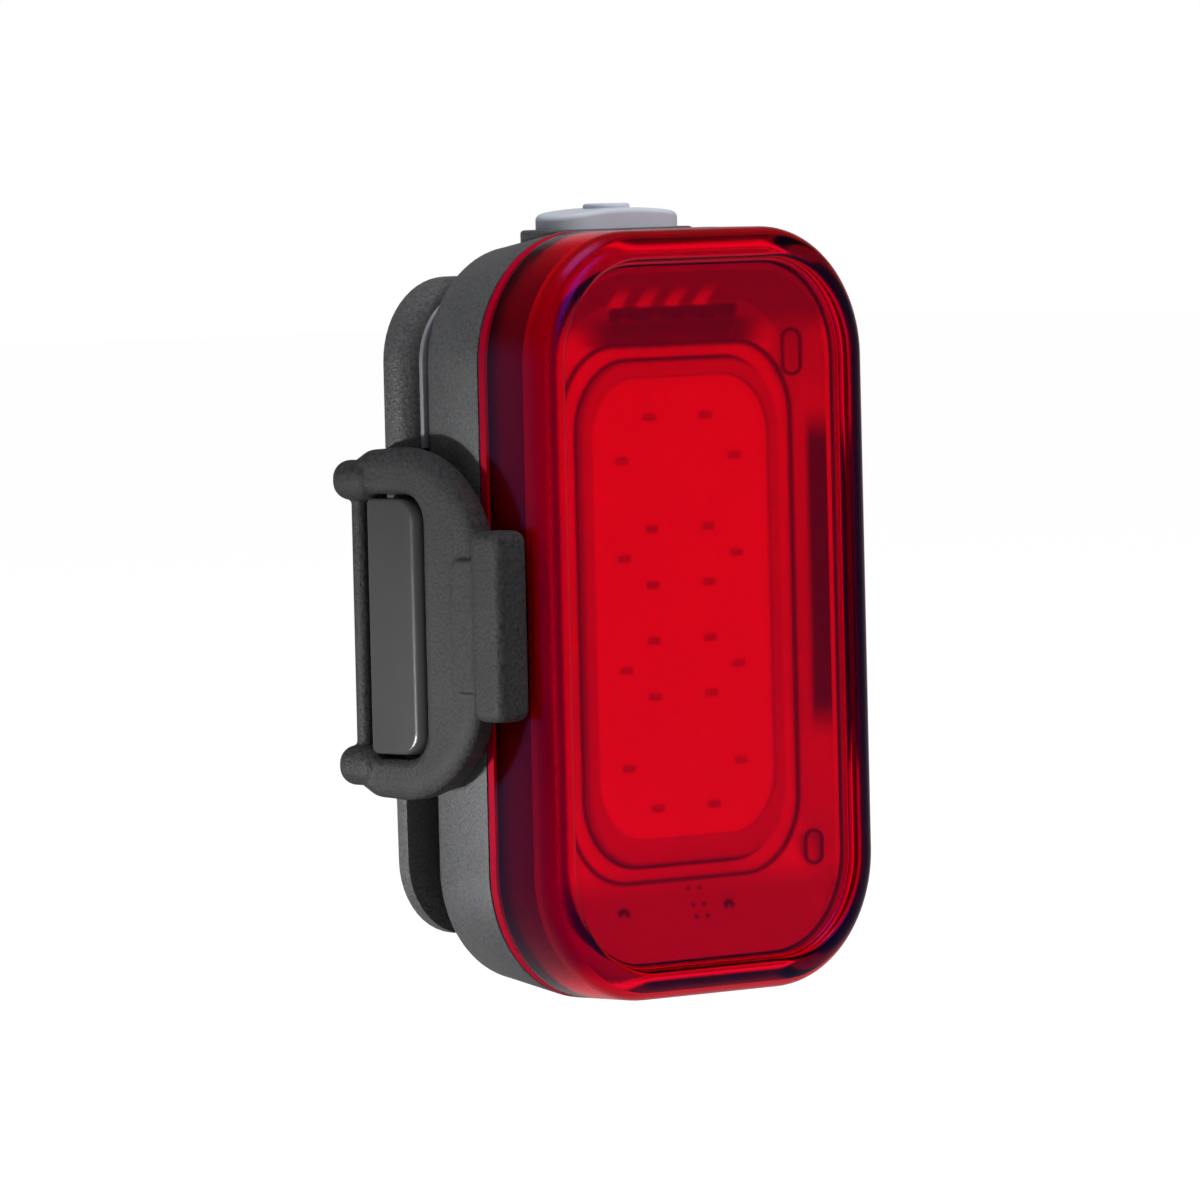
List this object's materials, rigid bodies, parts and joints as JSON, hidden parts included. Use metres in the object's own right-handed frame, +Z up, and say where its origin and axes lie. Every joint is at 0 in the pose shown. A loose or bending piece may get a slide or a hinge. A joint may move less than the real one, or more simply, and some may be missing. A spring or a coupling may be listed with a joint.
{
  "type": "bicycle rear light",
  "caption": "Red bicycle tail light with a tall rounded clear lens over a COB emitter, a top push button, a rear clip, side hooks and a rubber mounting strap.",
  "frame": {"origin": "where the middle line of the body meets the clip's rear face, which faces the seat post", "axes": "+Z up, the lens faces -Y, X across"},
  "size_m": [0.0429, 0.0215, 0.0621],
  "materials": {
    "housing_black": "satin, fine grain",
    "hook_black": "gloss with a fine brushed texture",
    "lens_red": "clear red, polished",
    "strap_silicone": "matt",
    "cover_silicone": "matt",
    "gasket_grey": "satin",
    "button_grey": "translucent, satin",
    "reflector_red": "bright, smooth",
    "board_white": "satin white solder mask",
    "dam_red": "smooth",
    "emitter_red": "smooth silicone fill",
    "chip_red": "smooth",
    "lamp_white": "clear cap",
    "board_green": "satin solder mask",
    "screw_steel": "zinc plated",
    "part_black": "moulded",
    "ferrite_grey": "pressed",
    "ceramic_tan": "fired",
    "ivory": "moulded",
    "battery_foil": "laminated foil",
    "pad_foam": "thin foam tape",
    "lead_red": "insulated wire",
    "port_steel": "nickel plated"
  },
  "bodies": {
    "light": {"housing": "housing_black", "lens": "lens_red", "lens_seal": "cover_silicone", "reflector": "reflector_red", "led_board": "board_white", "led_dam": "dam_red", "led_emitter": "emitter_red", "led_chips": "chip_red", "slot_lamps": "lamp_white", "board_link": "ivory", "main_board": "board_green", "board_screws": "screw_steel", "controller_chip": "part_black", "power_coil": "ferrite_grey", "capacitors": "ceramic_tan", "status_lamp": "lamp_white", "tact_switch": "part_black", "battery": "battery_foil", "battery_pad": "pad_foam", "battery_plug": "ivory", "lead_positive": "lead_red", "lead_negative": "part_black", "usb_shell": "port_steel", "usb_tongue": "part_black", "clip_root": "housing_black", "clip_gasket": "gasket_grey", "clip_screws": "screw_steel", "hook_left": "hook_black", "hook_right": "hook_black", "strap_band": "strap_silicone", "strap_fixed_end": "strap_silicone"},
    "button": {"button_cap": "button_grey"},
    "plunger": {"switch_plunger": "ivory"},
    "clip": {"clip_blade": "housing_black"},
    "strap_end": {"strap_tab_end": "strap_silicone"},
    "usb_flap": {"usb_cover": "cover_silicone"}
  },
  "joints": [
    {"name": "button_press", "type": "slide", "parent": "light", "child": "button", "axis": [0, 0, -1], "range_m": [0, 0.0006], "stiffness_N_per_m": 1500},
    {"name": "plunger_travel", "type": "slide", "parent": "light", "child": "plunger", "axis": [0, 0, -1], "range_m": [0, 0.0006]},
    {"name": "clip_flex", "type": "hinge", "parent": "light", "child": "clip", "pos_m": [0, -0.00065, 0.01315], "axis": [1, 0, 0], "range_deg": [0, 3], "stiffness_Nm_per_rad": 4, "deforming": ["strap_band"]},
    {"name": "strap_release", "type": "hinge", "parent": "light", "child": "strap_end", "pos_m": [-0.0198, 0.0018, 0], "axis": [0, 0, -1], "range_deg": [0, 110]},
    {"name": "usb_cover_open", "type": "hinge", "parent": "light", "child": "usb_flap", "pos_m": [0, -0.00564, -0.02914], "axis": [1, 0, 0], "range_deg": [0, 100]}
  ],
  "couplings": [
    {"joint": "plunger_travel", "follows": "button_press", "ratio": 1}
  ]
}
